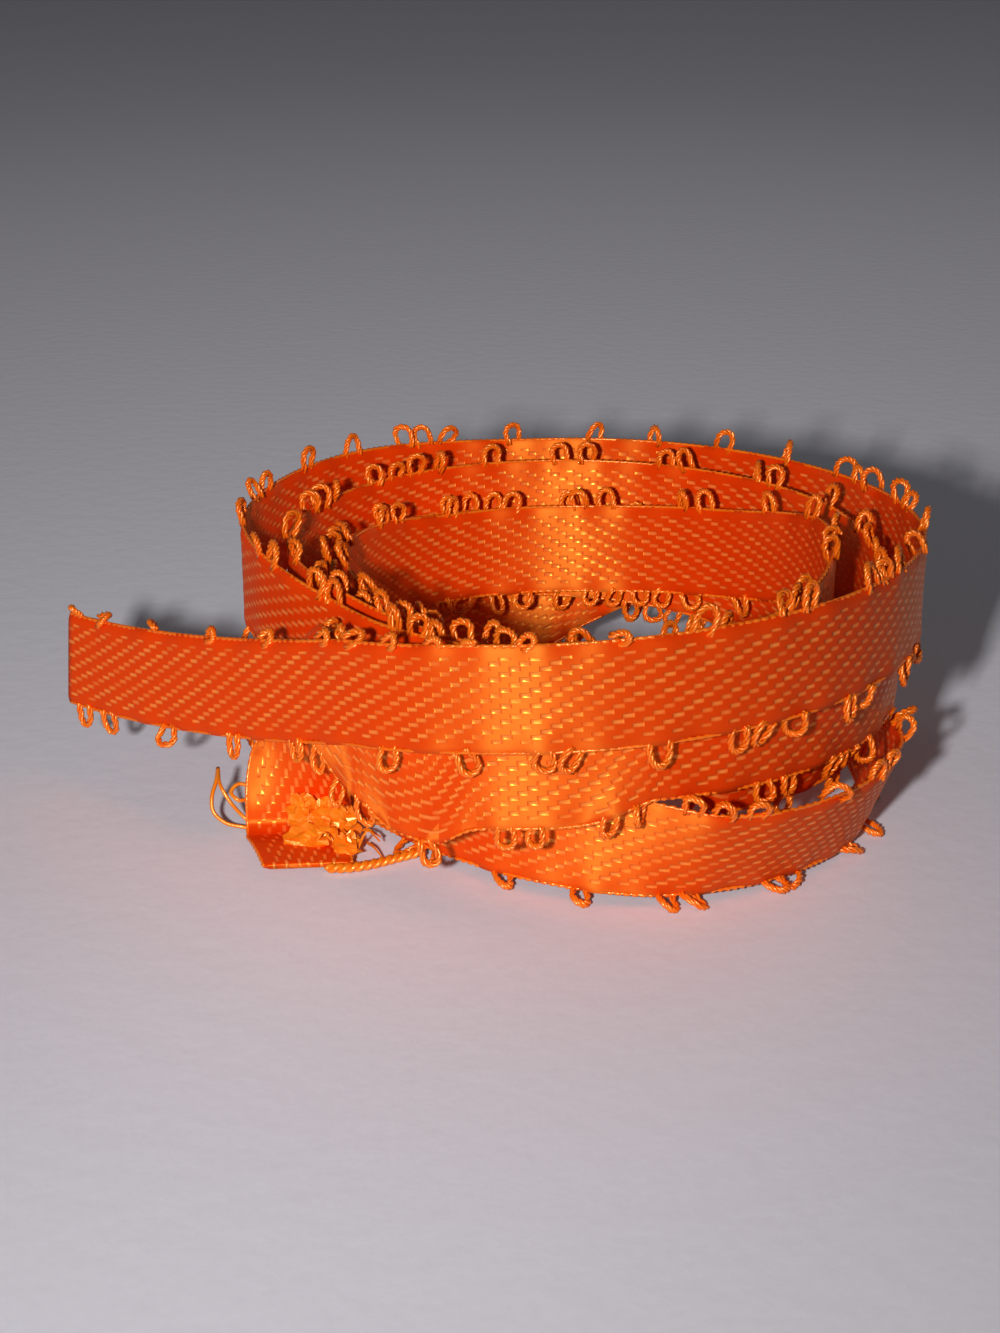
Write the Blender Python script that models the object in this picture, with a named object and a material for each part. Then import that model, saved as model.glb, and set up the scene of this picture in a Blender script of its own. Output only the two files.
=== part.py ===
"""Narrow satin ribbon with a feather edge, wound double into an open coil that stands on its edge.

The ribbon is one closed solid. It starts at the loose end, winds inwards as the outer strand,
turns back in a hairpin inside the coil, winds outwards again as the inner strand, which sags
to the floor on one side, and ends in a short tail that is folded down and lies on the floor.
Turn angles run anticlockwise seen from above, from 0 at the front (-Y), over +X at 90 degrees.
"""
from collections import namedtuple
from math import cos, pi, radians, sin, sqrt

import bmesh
import bpy
import numpy as np

MM = 0.001

# The ribbon
RIBBON_WIDTH = 7.0
RIBBON_THICKNESS = 1.0
STATION_STEP = 1.7

# The feather edge: small loops, here plain tabs
PICOT_REACH = 1.5
PICOT_EVERY = 3
PICOT_TIP_SCALE = 0.7
PICOT_FACE_ROOM = 0.7
PICOT_EDGE_ROOM = 0.45
PICOT_FLOOR_HEIGHT = 2.0
PICOT_BASE_MIN = 1.2

# The loose end, a straight run off the outer turn
LOOSE_LENGTH = 27.4
LOOSE_DROOP = 4.5
LOOSE_END_SKEW = 0.12

# The hairpin inside the coil
HAIRPIN_STEPS = 8

# The tail: a rising run, a fold at 45 degrees, a hanging stretch, and a stretch on the floor
TAIL_RUN = 5.9
TAIL_RISE = 3.9
TAIL_RISE_BY = 0.7
FOLD_RADIUS = 0.7
FOLD_STEPS = 8
HANG_STEPS = 12
HANG_LEVEL_BY = 0.6
HANG_TURN_DEG = 47.0
HANG_TURN_FROM = 0.35
HANG_SWING = 0.15
FLOOR_BEND_RADIUS = 1.0
FLOOR_BEND_STEPS = 5
FLOOR_RUN = 4.6
FLOOR_RUN_STEPS = 4
FLOOR_END_HALF_WIDTH = 2.9
FLOOR_END_SHIFT = 0.6

Section = namedtuple("Section", "turn_deg radius height lean_deg")

# The outer strand, from the loose end inwards
OUTER_STRAND = [Section(*row) for row in (
    (-41, 23.4, 13.5, 0),
    (-14, 23.4, 15.0, 0),
    (30, 23.4, 16.2, 0),
    (60, 23.3, 16.4, 0),
    (90, 23.1, 15.9, 0),
    (135, 23.1, 15.5, 0),
    (186, 23.2, 15.4, 0),
    (231, 23.3, 16.2, 0),
    (268, 23.4, 15.8, 0),
    (281, 22.5, 15.3, 0),
    (295, 20.9, 14.5, 0),
    (308, 19.7, 13.7, 0),
    (322, 19.6, 13.4, 0),
    (340, 20.3, 13.6, 0),
    (360, 20.6, 13.9, 0),
    (371, 20.6, 12.3, 0),
    (385, 20.6, 9.3, 0),
    (424, 20.5, 9.2, 0),
    (437, 20.5, 11.6, 0),
    (447, 20.5, 12.9, 0),
    (480, 20.4, 14.2, 0),
    (540, 20.4, 14.4, 0),
    (630, 20.2, 14.6, 0),
    (655, 19.3, 14.3, 0),
    (668, 18.2, 13.6, 0),
    (682, 17.9, 13.2, 0),
    (700, 18.2, 12.9, 0),
    (720, 18.0, 12.8, 0),
    (765, 17.5, 13.6, 0),
    (810, 17.2, 15.0, 0),
    (866, 17.6, 12.2, 0),
    (900, 17.6, 11.5, 0),
    (931, 17.4, 11.7, 0),
    (960, 16.9, 12.8, 0),
    (990, 16.4, 13.3, 0),
    (1015, 15.8, 12.9, 0),
    (1028, 15.4, 12.5, 0),
    (1040, 15.1, 12.2, 0),
)]

# The inner strand, from its tail at the coil's front left to the hairpin
INNER_STRAND = [Section(*row) for row in (
    (318, 22.05, 9.3, 0),
    (325, 22.05, 7.9, 0),
    (333, 22.05, 7.6, 0),
    (341, 22.1, 9.1, 0),
    (360, 22.0, 10.0, 0),
    (366, 22.0, 10.9, 0),
    (371, 22.0, 11.5, 0),
    (405, 22.0, 11.5, 0),
    (432, 21.9, 11.5, 0),
    (445, 21.8, 11.4, 0),
    (457, 21.8, 10.2, 0),
    (480, 21.8, 9.1, 0),
    (525, 21.8, 9.2, 0),
    (536, 21.7, 7.4, 0),
    (546, 21.5, 5.2, 0),
    (560, 21.2, 4.3, 0),
    (600, 19.8, 4.2, 0),
    (640, 17.8, 4.2, 0),
    (675, 16.8, 4.2, 0),
    (693, 17.3, 4.2, 0),
    (703, 18.0, 4.2, 0),
    (712, 18.7, 4.2, 0),
    (720, 19.6, 4.2, 1),
    (727, 20.4, 4.15, 4),
    (733, 21.2, 4.0, 12),
    (740, 22.1, 3.85, 22),
    (750, 22.6, 3.75, 25),
    (768, 22.8, 3.75, 24),
    (783, 22.3, 3.8, 20),
    (792, 21.4, 3.9, 14),
    (800, 20.3, 4.1, 7),
    (811, 19.4, 4.8, 3),
    (820, 19.2, 5.9, 0),
    (840, 19.05, 7.9, 0),
    (870, 19.05, 9.8, 0),
    (900, 19.0, 10.6, 0),
    (940, 18.8, 11.6, 0),
    (965, 18.4, 12.1, 0),
    (990, 17.8, 12.5, 0),
    (1015, 17.2, 12.4, 0),
    (1028, 16.8, 12.3, 0),
    (1040, 16.5, 12.2, 0),
)]

# One cross line of the ribbon: its middle, the way to its upper edge, and its face's normal
Line = namedtuple("Line", "middle half normal")

UP = np.array([0.0, 0.0, 1.0])


def smooth_value(sections, column, turn):
    """Read one column of a strand's table on a smooth curve through its rows."""
    turns = np.array([row.turn_deg for row in sections], float)
    values = np.array([getattr(row, column) for row in sections], float)
    steps = np.diff(turns)
    rates = np.diff(values) / steps
    slopes = np.empty(len(turns))
    slopes[0] = rates[0]
    slopes[-1] = rates[-1]
    for k in range(1, len(turns) - 1):
        if rates[k - 1] * rates[k] <= 0:
            slopes[k] = 0.0
        else:
            before = 2 * steps[k] + steps[k - 1]
            after = steps[k] + 2 * steps[k - 1]
            slopes[k] = (before + after) / (before / rates[k - 1] + after / rates[k])
    k = int(np.clip(np.searchsorted(turns, turn) - 1, 0, len(steps) - 1))
    u = (turn - turns[k]) / steps[k]
    start = values[k] * (1 + 2 * u) * (1 - u) ** 2 + slopes[k] * steps[k] * u * (1 - u) ** 2
    end = values[k + 1] * u * u * (3 - 2 * u) + slopes[k + 1] * steps[k] * u * u * (u - 1)
    return start + end


def coil_axes(turn_deg):
    """Return the outward way and the anticlockwise way at a turn angle."""
    angle = radians(turn_deg)
    outward = np.array([sin(angle), -cos(angle), 0.0])
    onward = np.array([cos(angle), sin(angle), 0.0])
    return outward, onward


def strand_line(sections, turn_deg):
    """Return the ribbon's middle point and its half width on a strand."""
    outward, onward = coil_axes(turn_deg)
    radius = smooth_value(sections, "radius", turn_deg)
    height = smooth_value(sections, "height", turn_deg)
    lean = radians(smooth_value(sections, "lean_deg", turn_deg))
    middle = outward * radius + UP * height
    half = (UP * cos(lean) + outward * sin(lean)) * RIBBON_WIDTH / 2
    return middle, half


def strand_turns(sections):
    """Space the turn angles of a strand's stations evenly along its length."""
    first = sections[0].turn_deg
    last = sections[-1].turn_deg
    fine = np.arange(first, last + 0.5, 0.5)
    radii = [smooth_value(sections, "radius", turn) for turn in fine]
    lengths = np.concatenate([[0.0], np.cumsum(np.radians(0.5) * np.array(radii[1:]))])
    count = int(round(lengths[-1] / STATION_STEP))
    return np.interp(np.linspace(0, lengths[-1], count + 1), lengths, fine)


def loose_end():
    """Run from the cut end to the first station of the outer strand."""
    start, half = strand_line(OUTER_STRAND, OUTER_STRAND[0].turn_deg)
    onward = coil_axes(OUTER_STRAND[0].turn_deg)[1]
    count = int(round(LOOSE_LENGTH / STATION_STEP))
    points = []
    for k in range(count, 0, -1):
        share = k / count
        droop = LOOSE_DROOP * (1 - (1 - share) ** 1.6)
        skew = LOOSE_END_SKEW * share ** 3
        middle = start - onward * LOOSE_LENGTH * share - UP * droop
        points.append((middle, half + onward * skew * RIBBON_WIDTH / 2))
    return points


def hairpin():
    """Turn from the end of the outer strand to the end of the inner one."""
    turn = OUTER_STRAND[-1].turn_deg
    inside, half = strand_line(OUTER_STRAND, turn)
    outside, half = strand_line(INNER_STRAND, turn)
    onward = coil_axes(turn)[1]
    centre = (inside + outside) / 2
    arm = (inside - outside) / 2
    reach = np.linalg.norm(arm)
    points = []
    for k in range(1, HAIRPIN_STEPS):
        angle = pi * k / HAIRPIN_STEPS
        points.append((centre + arm * cos(angle) + onward * reach * sin(angle), half))
    return points


def with_normals(points):
    """Turn middles and half widths into lines with their face normals."""
    middles = np.array([middle for middle, half in points])
    ways = np.gradient(middles, axis=0)
    lines = []
    for (middle, half), way in zip(points, ways):
        normal = np.cross(way, half)
        lines.append(Line(middle, half, normal / np.linalg.norm(normal)))
    return lines


def smooth_step(share):
    """Ease from 0 to 1."""
    share = min(max(share, 0.0), 1.0)
    return share * share * (3 - 2 * share)


def tail_lines():
    """Return the tail's lines: the rising run, the fold, the hanging and the floor stretch."""
    turn = INNER_STRAND[0].turn_deg
    start, half = strand_line(INNER_STRAND, turn)
    outward, onward = coil_axes(turn)
    ahead = -onward
    lines = []
    run_count = int(round(TAIL_RUN / STATION_STEP)) + 1
    for k in range(1, run_count + 1):
        share = k / run_count
        rise = smooth_step(share / TAIL_RISE_BY) * TAIL_RISE
        middle = start + ahead * TAIL_RUN * share + UP * rise
        lines.append(Line(middle, half - ahead * share * RIBBON_WIDTH / 2, -outward))
    lines += fold_lines(lines[-1], ahead, outward)
    lines += hang_lines(lines[-1], onward)
    lines += floor_lines(lines[-1])
    return lines


def fold_lines(first, ahead, outward):
    """Wrap the ribbon inwards round an axis at 45 degrees to its length, so that it turns down."""
    crease = (UP - ahead) / sqrt(2)
    across = (UP + ahead) / sqrt(2)
    lines = []
    for k in range(1, FOLD_STEPS + 1):
        angle = pi * k / FOLD_STEPS
        slide = -crease * FOLD_RADIUS * angle
        rise = across * FOLD_RADIUS * sin(angle) - outward * FOLD_RADIUS * (1 - cos(angle))
        normal = -across * sin(angle) - outward * cos(angle)
        lines.append(Line(first.middle + slide + rise, first.half, normal))
    return lines


def level_way(angle_deg):
    """Return the level unit vector at an angle from +X."""
    angle = radians(angle_deg)
    return np.array([cos(angle), sin(angle), 0.0])


def hang_lines(first, onward):
    """Lead the ribbon down from the fold, level its cross lines and turn it to the front."""
    start_deg = np.degrees(np.arctan2(onward[1], onward[0]))
    drop = first.middle[2] - (RIBBON_THICKNESS / 2 + FLOOR_BEND_RADIUS)
    lines = []
    for k in range(1, HANG_STEPS + 1):
        share = k / HANG_STEPS
        level = max(0.0, 1 - share / HANG_LEVEL_BY)
        turned = smooth_step((share - HANG_TURN_FROM) / (1 - HANG_TURN_FROM))
        side = level_way(start_deg + HANG_TURN_DEG * turned)
        swing = (side - onward) * HANG_SWING * RIBBON_WIDTH / 2
        middle = first.middle - UP * drop * share + swing
        half = (side + UP * level) * RIBBON_WIDTH / 2
        lines.append(Line(middle, half, np.cross(-UP, side)))
    return lines


def floor_lines(first):
    """Bend the ribbon onto the floor and lay its end flat."""
    side = first.half / np.linalg.norm(first.half)
    front = np.cross(-UP, side)
    front = front if front[1] < 0 else -front
    lines = []
    for k in range(1, FLOOR_BEND_STEPS + 1):
        angle = pi / 2 * k / FLOOR_BEND_STEPS
        middle = first.middle + front * FLOOR_BEND_RADIUS * (1 - cos(angle))
        middle = middle - UP * FLOOR_BEND_RADIUS * sin(angle)
        lines.append(Line(middle, first.half, None))
    laid = lines[-1]
    for k in range(1, FLOOR_RUN_STEPS + 1):
        share = k / FLOOR_RUN_STEPS
        half_width = RIBBON_WIDTH / 2 + (FLOOR_END_HALF_WIDTH - RIBBON_WIDTH / 2) * share
        middle = laid.middle + front * FLOOR_RUN * share + side * FLOOR_END_SHIFT * share
        lines.append(Line(middle, side * half_width, None))
    middles = np.array([first.middle] + [line.middle for line in lines])
    ways = np.gradient(middles, axis=0)[1:]
    ways[-1] = front
    placed = []
    for line, way in zip(lines, ways):
        normal = np.cross(way, side)
        placed.append(Line(line.middle, line.half, normal / np.linalg.norm(normal)))
    for k in range(FLOOR_BEND_STEPS - 1, len(placed)):
        placed[k] = Line(placed[k].middle, placed[k].half, UP * np.sign(placed[k].normal[2]))
    return placed


def ribbon_lines():
    """Return every cross line of the ribbon, from the loose end to the tail's end."""
    points = loose_end()
    points += [strand_line(OUTER_STRAND, turn) for turn in strand_turns(OUTER_STRAND)]
    points += hairpin()
    points += [strand_line(INNER_STRAND, turn) for turn in strand_turns(INNER_STRAND)[::-1]]
    return with_normals(points) + tail_lines()


def corner_rings(lines):
    """Give each line its four corners: upper and lower edge, on both faces."""
    rings = []
    for line in lines:
        offset = line.normal * RIBBON_THICKNESS / 2
        upper = line.middle + line.half
        lower = line.middle - line.half
        rings.append([upper + offset, upper - offset, lower - offset, lower + offset])
    return np.array(rings)


def picot_tip(lines, k, side):
    """Return a loop's reach from the edge between lines k and k + 1, bent outwards on the floor."""
    first = lines[k]
    second = lines[k + 1]
    edge = (first.middle + second.middle + side * (first.half + second.half)) / 2
    half = first.half + second.half
    way = side * half / np.linalg.norm(half)
    reach = way * PICOT_REACH
    if side < 0 and edge[2] < PICOT_FLOOR_HEIGHT and abs(way[2]) > 0.5:
        outward = np.array([edge[0], edge[1], 0.0])
        outward = outward / np.linalg.norm(outward)
        reach = outward * PICOT_REACH - UP * edge[2]
    return edge, reach


def picot_is_clear(lines, k, tip, others):
    """Say whether a loop's tip keeps clear of the ribbon's other turns and of other loops."""
    middles, halves, normals = others
    gap = tip - middles
    lengths = np.linalg.norm(halves, axis=1)
    ways = halves / lengths[:, None]
    along_half = np.abs(np.sum(gap * ways, axis=1)) - lengths
    off_face = np.abs(np.sum(gap * normals, axis=1)) - RIBBON_THICKNESS / 2
    along = np.cross(ways, normals)
    along_run = np.abs(np.sum(gap * along, axis=1)) - STATION_STEP
    far = np.abs(np.arange(len(middles)) - k) > 4
    near = (along_half < PICOT_EDGE_ROOM) & (off_face < PICOT_FACE_ROOM) & (along_run < 0)
    return not np.any(near & far)


def choose_picots(lines):
    """List the loops that have room: the line each starts at, its side and its reach."""
    middles = np.array([line.middle for line in lines])
    halves = np.array([line.half for line in lines])
    normals = np.array([line.normal for line in lines])
    others = (middles, halves, normals)
    tips = np.empty((0, 3))
    chosen = []
    for side in (1, -1):
        for k in range(1 if side > 0 else 2, len(lines) - 2, PICOT_EVERY):
            base = np.linalg.norm(lines[k + 1].middle - lines[k].middle)
            edge, reach = picot_tip(lines, k, side)
            tip = edge + reach
            if base < PICOT_BASE_MIN:
                continue
            if tip[2] < -1e-6 or not picot_is_clear(lines, k, tip, others):
                continue
            if not picot_is_clear(lines, k, edge + reach / 2, others):
                continue
            if len(tips) and np.min(np.linalg.norm(tips - tip, axis=1)) < PICOT_REACH:
                continue
            tips = np.vstack([tips, tip])
            chosen.append((k, side, reach))
    return chosen


def build_ribbon_mesh(lines, picots):
    """Skin the lines into one closed body and draw its loops out of its two edges."""
    bm = bmesh.new()
    rings = [[bm.verts.new(corner * MM) for corner in ring] for ring in corner_rings(lines)]
    picot_at = {(k, side): reach for k, side, reach in picots}
    for k in range(len(rings) - 1):
        here = rings[k]
        there = rings[k + 1]
        for j in range(4):
            quad = [here[j], here[(j + 1) % 4], there[(j + 1) % 4], there[j]]
            side = {0: 1, 2: -1}.get(j)
            reach = picot_at.get((k, side))
            if reach is None:
                bm.faces.new(quad)
            else:
                add_picot(bm, quad, reach * MM)
    bm.faces.new(rings[0][::-1])
    bm.faces.new(rings[-1])
    bmesh.ops.recalc_face_normals(bm, faces=bm.faces)
    mesh = bpy.data.meshes.new("ribbon")
    bm.to_mesh(mesh)
    bm.free()
    return mesh


def add_picot(bm, base, reach):
    """Draw one tapered tab from an edge face; a tab on the floor gets a level tip."""
    centre = sum((vert.co for vert in base), base[0].co * 0) / len(base)
    tips = []
    for vert in base:
        place = centre + (vert.co - centre) * PICOT_TIP_SCALE
        tip = bm.verts.new((place[0] + reach[0], place[1] + reach[1], place[2] + reach[2]))
        tips.append(tip)
    if abs(centre[2] + reach[2]) < 1e-5:
        for tip in tips:
            tip.co[2] = 0.0
    for j in range(4):
        bm.faces.new([base[j], base[(j + 1) % 4], tips[(j + 1) % 4], tips[j]])
    bm.faces.new(tips)


def satin_material():
    """Orange satin."""
    material = bpy.data.materials.new("orange_satin")
    material.use_nodes = True
    shader = material.node_tree.nodes["Principled BSDF"]
    shader.inputs["Base Color"].default_value = (0.85, 0.09, 0.0, 1.0)
    shader.inputs["Roughness"].default_value = 0.35
    shader.inputs["Metallic"].default_value = 0.0
    return material


def main():
    for old in list(bpy.data.objects):
        bpy.data.objects.remove(old, do_unlink=True)
    lines = ribbon_lines()
    picots = choose_picots(lines)
    mesh = build_ribbon_mesh(lines, picots)
    ribbon = bpy.data.objects.new("ribbon", mesh)
    corners = np.array([vert.co for vert in mesh.vertices])
    low = corners.min(axis=0)
    high = corners.max(axis=0)
    ribbon.location = (-(low[0] + high[0]) / 2, -(low[1] + high[1]) / 2, -low[2])
    ribbon.data.materials.append(satin_material())
    bpy.context.scene.collection.objects.link(ribbon)


main()
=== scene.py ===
"""Looks for the feather-edge satin ribbon: woven cloth, thread loops, a frayed tail and a pale floor.

The path tables repeat the part's source. Lengths are in millimetres until a mesh is made.
"""

import random
from collections import namedtuple
from math import cos, pi, radians, sin, sqrt

import bpy
import numpy as np
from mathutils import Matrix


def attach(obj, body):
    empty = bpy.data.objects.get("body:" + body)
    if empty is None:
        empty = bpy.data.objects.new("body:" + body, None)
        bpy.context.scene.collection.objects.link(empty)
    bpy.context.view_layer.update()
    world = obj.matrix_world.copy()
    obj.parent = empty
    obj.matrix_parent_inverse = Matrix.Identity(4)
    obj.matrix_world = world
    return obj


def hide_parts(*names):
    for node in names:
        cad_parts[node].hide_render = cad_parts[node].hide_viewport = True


MM = 0.001
UP = np.array([0.0, 0.0, 1.0])

# The ribbon's path, as in the part's source but in finer steps, and the cloth, thinner than the solid
RIBBON_WIDTH = 7.0
CLOTH_THICKNESS = 0.34
SOLID_THICKNESS = 1.0
STATION_STEP = 0.5
LOOSE_LENGTH = 27.4
LOOSE_DROOP = 4.5
LOOSE_DROOP_CURVE = 1.6
LOOSE_END_SKEW = 0.12
HAIRPIN_STEPS = 24
TAIL_RUN = 5.9
TAIL_RISE = 3.9
TAIL_RISE_BY = 0.7
FOLD_RADIUS = 0.7
FOLD_STEPS = 20
HANG_STEPS = 26
HANG_LEVEL_BY = 0.6
HANG_TURN_DEG = 47.0
HANG_TURN_FROM = 0.35
HANG_SWING = 0.15
FLOOR_BEND_RADIUS = 1.0
FLOOR_BEND_STEPS = 8
FLOOR_RUN = 4.6
FLOOR_RUN_STEPS = 12
FLOOR_RUN_ARCH = 0.25
FLOOR_END_HALF_WIDTH = 2.9
FLOOR_END_SHIFT = 0.6

# The coil's axis in the part's frame
COIL_CENTRE = np.array([6.544, 0.106, 0.0])

# The cloth's mesh, and the ripple of its edges away from its two ends
POINTS_ACROSS = 15
EDGE_ROUNDING = 14
EDGE_THINNEST = 0.04
EDGE_RIPPLE = 0.10
RIPPLE_RATES = (1.7, 0.93)
RIPPLE_SECOND = 0.6
STILL_START = 2
STILL_END = 14

# Where the loops stand on the upper edge (1) and the lower one (-1), clear of the other turns
LOOP_SEED = 11
LOOP_PITCH = (4.2, 6.4)
LOOP_PAIR_PITCH = (1.6, 2.1)
LOOP_PAIR_CHANCE = 0.42
LOOSE_END_LOOPS = {1: (0.5, 3.5, 9.5, 15.1, 20.6, 25.9, 28.4, 31.5, 34.6, 37.2, 40.4),
                   -1: (1.6, 4.1, 10.5, 17.1, 23.2, 31.4, 36.6, 41.7, 43.5)}
LOOPLESS_END = 9
LOOP_TIP = 1.3
LOOP_FACE_ROOM = 0.45
LOOP_EDGE_ROOM = 0.3
LOOP_SIDE_ROOM = STATION_STEP * 1.5
LOOP_OWN_LINES = 20

# How a loop stands: the upper ones near the loose end are curled, and those at the floor lie outwards
LOOP_TILT_DEG = 14
LOOP_LEAN_DEG = 13
LOOP_TURN_DEG = {1: 26, -1: 12}
CURLED_UNTIL = 46.0
CURLED_TILT_DEG = (48, 72)
CURLED_LEAN_DEG = 45
FLOOR_LOOP_HEIGHT = 2.0
FLOOR_LOOP_REST = 0.2
FLOOR_LOOP_REACH = 1.6
FLOOR_LOOP_LEAST = 0.1
FLOOR_LOOP_TILT_DEG = 30

# A loop's own shape
LOOP_WIDTH = (1.2, 1.65)
LOOP_LENGTH = (1.35, 1.8)
CURLED_LENGTH = (0.85, 1.2)
CURLED_NARROWING = 0.75
LOOP_NECK = (0.45, 0.85)
LOOP_BOW = 0.3
LOOP_SWELL = 1.5
LOOP_BLUNTNESS = 0.8
LOOP_ROOT_DEPTH = 0.3
LOOP_STEPS = 15
LOOP_SIDES = 5
LOOP_PLIES = 3
PLY_RADIUS = 0.115
PLY_SPREAD = 0.15
PLY_TWISTS = (2.0, 3.4)
PLY_FLOOR_GAP = 0.01

# The thread along each edge
EDGE_THREAD_RADIUS = 0.13
EDGE_THREAD_STEP = 0.19
EDGE_THREAD_SIDES = 5
EDGE_THREAD_INSET = 0.02
EDGE_THREAD_SWAY = 0.05
EDGE_THREAD_END_GAP = 0.1
EDGE_BEAD_PITCH = 0.55
EDGE_BEAD_NECK = 0.55
EDGE_BEAD_SWELL = 0.6

# Two ways to start a tube's cross sections from, the second for tubes that follow the first
TUBE_GUIDE = np.array([0.31, 0.23, 0.92])
TUBE_OTHER_GUIDE = np.array([0.92, -0.31, 0.23])
TUBE_GUIDE_LIMIT = 0.9

# The weave: staggered rows of floats, and a slope of the cloth that moves its highlight along it
FLOAT_PITCH = 1.82
FLOAT_LENGTH = 0.74
FLOAT_WIDTH = 0.32
FLOAT_ROUNDNESS = 0.6
FLOAT_RISE = 0.07
FLOAT_TILT = 0.25
FLOAT_VARIETY = 0.6
CLOTH_TILT = 1.8
ROW_PITCH = 0.335
ROW_SHIFT = 0.345
PLAIN_BAND = 0.75

# The satin's colours and shine; the floats' colour is paler than the ground, partly as the weave's own
# pattern and partly as a painted highlight for the floats' glints
SATIN_GROUND = (0.80, 0.036, 0.0, 1.0)
SATIN_FLOAT_PAINTED_GLINT = (1.0, 0.24, 0.045, 1.0)
SATIN_TINT = (1.0, 0.66, 0.08, 1.0)
SATIN_ROUGHNESS = 0.6
FLOAT_SMOOTHNESS = 0.42
SATIN_METALLIC = 0.05
SATIN_IOR = 1.85
SATIN_ANISOTROPY = 0.85

# The threads' colours, shine and fibres
LOOP_COLOURS = ((0.90, 0.10, 0.0, 1.0), (1.0, 0.24, 0.01, 1.0))
FRAY_COLOURS = ((0.92, 0.13, 0.0, 1.0), (1.0, 0.32, 0.012, 1.0))
LOOP_ROUGHNESS = 0.3
FRAY_ROUGHNESS = 0.32
THREAD_TINT = (1.0, 0.7, 0.35, 1.0)
THREAD_METALLIC = 0.12
THREAD_IOR = 1.7
THREAD_SPECULAR = 0.9
THREAD_DRIFT_SCALE = 900.0
THREAD_FIBRE_SCALE = 6000.0
THREAD_FIBRE_STRENGTH = 0.4
THREAD_FIBRE_RISE = 0.05

# The floor
FLOOR_REACH = 900.0
FLOOR_COLOURS = ((0.78, 0.755, 0.82, 1.0), (0.84, 0.815, 0.88, 1.0))
FLOOR_ROUGHNESS = 0.75
FLOOR_SPECULAR = 0.25
FLOOR_GRAIN_SCALE = 1400.0
FLOOR_RELIEF_SCALE = 500.0
FLOOR_RELIEF_STRENGTH = 0.22
FLOOR_RELIEF_RISE = 0.2

# The tail's torn mass: where the camera sees each lump, its height and its reaches
TAIL_LUMPS = (
    (318, 838, 1.0, (2.1, 1.5, 1.1)),
    (340, 824, 1.6, (1.3, 1.0, 1.4)),
    (303, 812, 2.2, (1.2, 0.9, 1.3)),
    (346, 846, 0.9, (1.1, 1.1, 1.0)),
    (326, 815, 2.0, (1.4, 0.9, 1.2)),
)
LUMP_RINGS = 11
LUMP_SIDES = 16
LUMP_CRUMPLE = (0.62, 1.18)
LUMP_POLE = 0.8
FRAY_SEED = 5
FRAY_LOWEST = 0.12

# The torn mass's loose filaments, from their places along and behind the tail's end
TAIL_HAIRS = 14
HAIR_PLACE = (0.1, 1.3)
HAIR_SPREAD = 3.3
HAIR_SHIFT = 0.2
HAIR_BACK = (0.5, 4.6)
HAIR_HEIGHT = (0.4, 1.6)
HAIR_ASIDE = (-0.3, 1.2)
HAIR_AHEAD = (-0.7, 0.9)
HAIR_LENGTH = (0.9, 2.0)
HAIR_LIFT = (0.2, 1.4)
HAIR_END_LIFT = (-0.1, 1.0)
HAIR_BEND = 0.8
HAIR_MIDDLE_BEND = 0.4
HAIR_RADII = (0.1, 0.06)
HAIR_STEPS = 7
HAIR_SIDES = 4

# The short twisted cord: where the camera sees it on the floor
CORD_PLACES = ((326, 868), (345, 868), (372, 864), (396, 858), (419, 852))
CORD_HEIGHT = 0.42
CORD_STEPS = 70
CORD_LAY = 1.15
CORD_SPREAD = 0.16
CORD_PLY_RADIUS = 0.19
CORD_SIDES = 8

# The threads off the tail's left edge: where the camera sees each one's points, and their heights
STRAY_PLACES = (
    ((218, 768, 3.7), (216, 782, 3.2), (212, 796, 2.5), (213, 811, 1.6), (226, 823, 0.8),
     (244, 827, 0.5), (264, 831, 0.4)),
    ((218, 768, 3.7), (221, 787, 3.1), (231, 803, 2.1), (245, 818, 1.0), (264, 832, 0.4)),
    ((250, 786, 3.4), (238, 784, 3.6), (231, 792, 3.2), (238, 800, 2.8), (250, 798, 2.6)),
)
STRAY_STEPS = 26
STRAY_RADIUS = 0.14
STRAY_SIDES = 6

# The camera, measured from the coil's axis on the floor
CAMERA_PLACE = np.array([-5.65, -138.5, 61.6])
CAMERA_PITCH_DEG = 21.0
FOCAL_PIXELS = 2100.0
PHOTO_WIDTH = 1000.0
PHOTO_HEIGHT = 1333.0
SENSOR_MM = 36.0
NEAREST_SEEN = 5.0

# Each light's name, place, target, size, power and spread in degrees
LIGHTS = (
    ("key", (-28, -138.5, 60), (-18, -25, 0), 7, 4.7, 125.0),
    ("back_right", (230, 250, 140), (0, 0, 8), 120, 0.45, 180.0),
    ("back_left", (-250, 210, 140), (0, 0, 8), 120, 0.3, 180.0),
)
SURROUND_COLOUR = (0.96, 0.97, 1.0, 1.0)
SURROUND_STRENGTH = 0.055

Section = namedtuple("Section", "turn_deg radius height lean_deg")

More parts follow.
